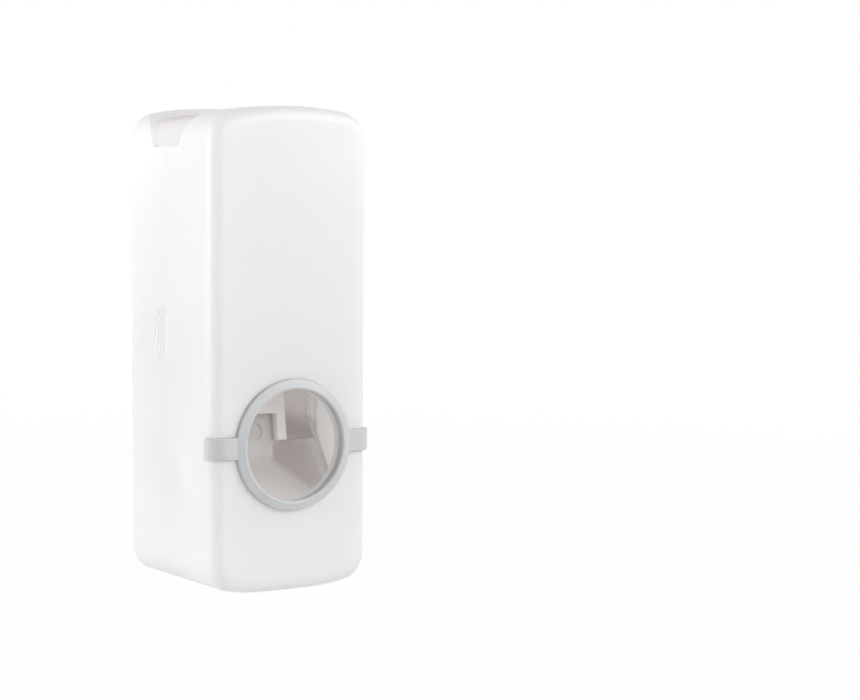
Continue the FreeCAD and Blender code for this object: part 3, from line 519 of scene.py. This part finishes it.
for piece, node, body in (
        (outletNozzle(), "outlet_nozzle", "housing"), (tubeSeal(), "tube_seal", "housing"),
        (inletFlap(), "inlet_flap", "housing"), (pressPad(), "press_pad", "lever")):
    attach(piece, body)
    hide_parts(node)
print("nozzle, seal, flap and pad made")


# Return spring: a round wire on a helix whose pitch closes up at both ends

springLook = {
    "first": -1.62, "last": 20.34, "height": 47.4, "radius": 2.6, "wire": 0.4, "turns": 9.5,
    "closed": 0.9, "easing": 0.8, "tightness": 1.05, "steps": 40, "sides": 16, "sharp": 60.0,
}


# wire centre: angle grows evenly, height follows the integral of a pitch that falls to one wire at the ends
def returnSpring():
    look = springLook
    count = int(look["turns"] * look["steps"])
    turn = np.linspace(0, look["turns"], count)
    inward = np.minimum(turn, look["turns"] - turn)
    ease = np.clip((inward - look["closed"]) / look["easing"], 0, 1)
    ease = ease * ease * (3 - 2 * ease)
    tight = 2 * look["wire"] * look["tightness"]
    climb = np.concatenate([[0], np.cumsum((ease[1:] + ease[:-1]) / 2) * (turn[1] - turn[0])])
    room = look["last"] - look["first"] - 2 * look["wire"]
    loose = (room - tight * look["turns"]) / climb[-1]
    along = look["first"] + look["wire"] + tight * turn + loose * climb
    angle = 2 * math.pi * turn
    out = np.stack([np.cos(angle), np.zeros(count), np.sin(angle)], 1)
    line = look["radius"] * out + np.stack([np.zeros(count), along, np.full(count, look["height"])], 1)
    way = np.gradient(line, axis=0)
    way /= np.linalg.norm(way, axis=1, keepdims=True)
    side = np.cross(way, out)
    around = np.linspace(0, 2 * math.pi, look["sides"], endpoint=False)[None, :, None]
    skin = line[:, None] + look["wire"] * (np.cos(around) * out[:, None] + np.sin(around) * side[:, None])
    cap = np.repeat(line[[0, -1]][:, None], look["sides"], axis=1)
    skin = np.concatenate([cap[:1], skin, cap[1:]])
    return addPiece("returnSpring", surface(skin * mm), wireSteel, look["sharp"])


spring = returnSpring()
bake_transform(spring)
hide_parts("return_spring")
print("return spring made")


# Foam tape: a rounded slab whose rim bulges a little where the plate squeezes it

tapeLook = {
    "half": (17.5, 20.5), "corner": 2.5, "front": 27.8, "back": 28.8, "height": 114.0, "bulge": 0.25,
    "cornerSteps": 12, "rows": 9,
}


# outline: a rounded rectangle by angle, scaled row by row by 1 plus a sine of the depth, with flat ends
def foamSlab():
    look = tapeLook
    corner = np.linspace(0, math.pi / 2, look["cornerSteps"])
    flat = np.array(look["half"]) - look["corner"]
    arcs = []
    for turn, side in enumerate(((1, 1), (-1, 1), (-1, -1), (1, -1))):
        angle = corner + turn * math.pi / 2
        arcs.append(side * flat + look["corner"] * np.stack([np.cos(angle), np.sin(angle)], 1))
    depth = np.linspace(0, 1, look["rows"])
    swell = 1 + look["bulge"] * np.sin(math.pi * depth) / max(look["half"])
    rows = np.concatenate(arcs)[None] * swell[:, None, None]
    rows = np.concatenate([rows[:1] * 0, rows, rows[-1:] * 0])
    depth = np.concatenate([depth[:1], depth, depth[-1:]])
    y = look["front"] + (look["back"] - look["front"]) * depth
    y = np.broadcast_to(y[:, None], rows.shape[:2])
    points = np.stack([rows[..., 0], y, look["height"] + rows[..., 1]], -1)
    return addPiece("foamSlab", surface(points * mm), foam)


tape = foamSlab()
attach(tape, "wall_mount")
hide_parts("adhesive_pad")
print("foam tape made")


# Finishes of the CAD nodes that stay

finishes = {
    "front_cover": whiteCase, "rear_housing": whiteCase, "trim_ring": greyTrim, "brush_bay": bayInner,
    "pump_frame": warmInner, "bulb_collar": warmInner, "valve_plate": warmInner,
    "nozzle_clamp": warmInner, "push_lever": lightLever, "wall_plate": warmInner,
    "bay_screws": turnedSteel, "frame_screws": turnedSteel, "collar_screws": turnedSteel,
    "lever_pin": turnedSteel, "pin_clips": turnedSteel,
}
for name, material in finishes.items():
    nodes[name].data.materials.clear()
    nodes[name].data.materials.append(material)
print("finishes given to", len(finishes), "nodes")


# Floor and sky: white to the eye, a plain level of light to the object
# the floor keeps a trace of its shading nearer than "near", and is all white past "far"

stageLook = {
    "half": 4.0, "pale": (0.92, 0.92, 0.92), "paleAt": 1.0, "deep": (0.9108, 0.9108, 0.9108), "deepAt": 0.0,
    "cloudScale": 6.0, "cloudDetail": 2.0, "white": 0.97, "near": 0.15, "far": 0.6, "sky": 0.22,
}
pureWhite = (1, 1, 1, 1)


# 1 for rays from the eye, off gloss and through milky walls
def seenStraight(tap):
    camera = tap.node("ShaderNodeLightPath", None, None, "Is Camera Ray")
    outs = camera.socket.node.outputs
    straight = camera + Tap(tap.tree, outs["Is Glossy Ray"]) + Tap(tap.tree, outs["Is Transmission Ray"])
    return tap.sum("MINIMUM", straight, 1.0)


def paleFloor():
    look, half = stageLook, stageLook["half"]
    mesh = bpy.data.meshes.new("paleFloor")
    corners = [(-half, -half, 0), (half, -half, 0), (half, half, 0), (-half, half, 0)]
    mesh.from_pydata(corners, [], [(0, 1, 2, 3)])
    material, tap, place = newMaterial("paleFloor")
    cloud = noise(tap, place, look["cloudScale"], look["cloudDetail"])
    matt = tap.node("ShaderNodeBsdfDiffuse", None, {"Color": toneRamp(tap, cloud, look)})
    bright = tap.node("ShaderNodeEmission", None, {"Color": pureWhite, "Strength": 1.0})
    away = tap.node("ShaderNodeVectorMath", {"operation": "LENGTH"}, {0: place}, "Value")
    white = tap.node("ShaderNodeMapRange", {"interpolation_type": "SMOOTHSTEP"}, {
        "Value": away, "From Min": look["near"], "From Max": look["far"],
        "To Min": look["white"], "To Max": 1.0})
    shader = tap.node("ShaderNodeMixShader", None, {0: seenStraight(tap) * white, 1: matt, 2: bright})
    tap.node("ShaderNodeOutputMaterial", None, {"Surface": shader})
    mesh.materials.append(material)
    floor = bpy.data.objects.new("paleFloor", mesh)
    bpy.context.scene.collection.objects.link(floor)


def paleSky():
    world = bpy.data.worlds.new("paleSky")
    bpy.context.scene.world = world
    world.use_nodes = True
    world.node_tree.nodes.clear()
    tap = Tap(world.node_tree)
    light = tap.node("ShaderNodeBackground", None, {"Color": pureWhite, "Strength": stageLook["sky"]})
    white = tap.node("ShaderNodeBackground", None, {"Color": pureWhite, "Strength": 1.0})
    shader = tap.node("ShaderNodeMixShader", None, {0: seenStraight(tap), 1: light, 2: white})
    tap.node("ShaderNodeOutputWorld", None, {"Surface": shader})


# Soft boxes round the object: place and size in metres, power in watts

softBoxes = {
    "leftBox": {"place": (-1.2, 0.5, 0.3), "size": 0.9, "power": 14.8},
    "frontBox": {"place": (0.1, -1.05, 0.5), "size": 0.9, "power": 4.4},
    "rightBox": {"place": (0.8, -0.7, 0.7), "size": 0.9, "power": 6.6},
}
boxAim = (0.0, 0.0, 0.08)


def lightStage():
    for name, look in softBoxes.items():
        lamp = bpy.data.lights.new(name, "AREA")
        lamp.shape = "DISK"
        lamp.size = look["size"]
        lamp.energy = look["power"]
        box = bpy.data.objects.new(name, lamp)
        box.location = look["place"]
        box.rotation_euler = (Vector(boxAim) - box.location).to_track_quat("-Z", "Y").to_euler()
        box.visible_camera = False
        bpy.context.scene.collection.objects.link(box)


# Camera: fitted to the photo, with its place and aim in mm and its lens in pixels of an 860 by 700 frame

cameraLook = {
    "place": (-391.25, -663.96, 139.90), "aim": (0.0, 0.0, 77.5), "focalPixels": 2354.9,
    "width": 860, "height": 700, "aimPixel": (246.92, 344.27), "sensor": 36.0, "nearest": 0.01,
}


def setCamera():
    look = cameraLook
    lens = bpy.data.cameras.new("eye")
    lens.sensor_width = look["sensor"]
    lens.lens = look["focalPixels"] / look["width"] * look["sensor"]
    lens.shift_x = (look["width"] / 2 - look["aimPixel"][0]) / look["width"]
    lens.shift_y = (look["aimPixel"][1] - look["height"] / 2) / look["width"]
    lens.clip_start = look["nearest"]
    eye = bpy.data.objects.new("eye", lens)
    eye.location = Vector(look["place"]) * mm
    eye.rotation_euler = (Vector(look["aim"]) * mm - eye.location).to_track_quat("-Z", "Y").to_euler()
    bpy.context.scene.collection.objects.link(eye)
    bpy.context.scene.camera = eye


paleFloor()
paleSky()
lightStage()
setCamera()
bpy.context.scene.view_settings.view_transform = "Standard"
bpy.context.scene.cycles.max_bounces = 24  # light goes on from wall to wall inside the case
bpy.context.scene.cycles.diffuse_bounces = 16
bpy.context.scene.cycles.transmission_bounces = 24
print("stage, light and camera set")
